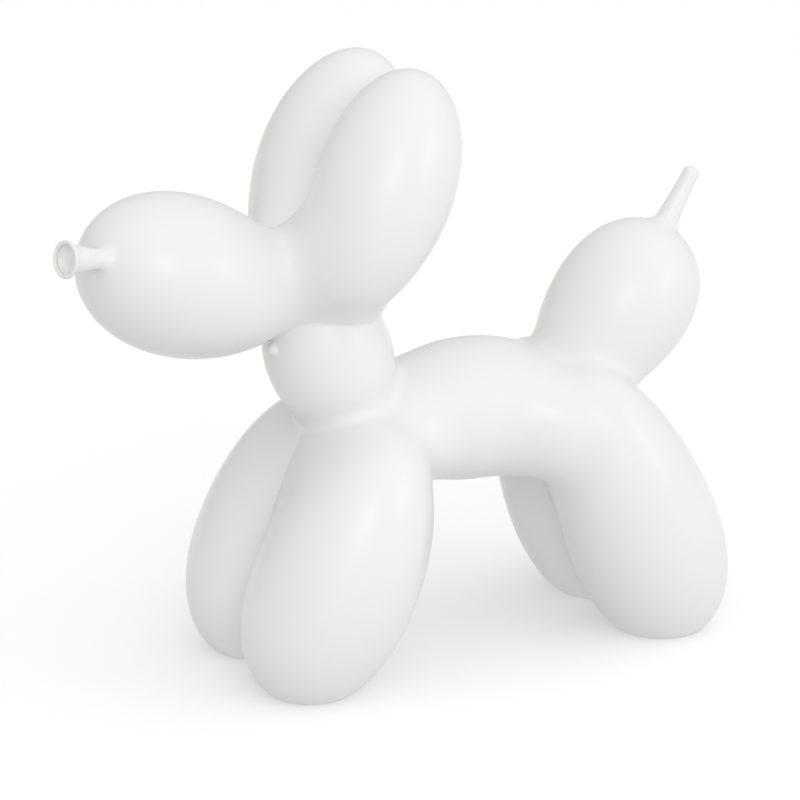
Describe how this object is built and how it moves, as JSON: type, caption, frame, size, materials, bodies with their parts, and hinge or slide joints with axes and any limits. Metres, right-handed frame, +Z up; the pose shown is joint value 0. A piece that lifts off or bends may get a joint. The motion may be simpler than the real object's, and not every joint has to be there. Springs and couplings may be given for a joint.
{
  "type": "balloon dog statue",
  "caption": "One-piece white gloss resin ornament of a twisted balloon dog with balloon snout, ears, legs and tail, a rolled nozzle at the nose and a pinched tail tip.",
  "frame": {"origin": "middle of the bounding box at floor level, under the dog's back", "axes": "+Z up, -X the way the dog faces, +Y towards the dog's right side"},
  "size_m": [0.2812, 0.1204, 0.2407],
  "materials": {
    "white_gloss_resin": "gloss white, lightly moulded surface"
  },
  "bodies": {
    "root": {"balloon_dog": "white_gloss_resin"}
  },
  "joints": []
}
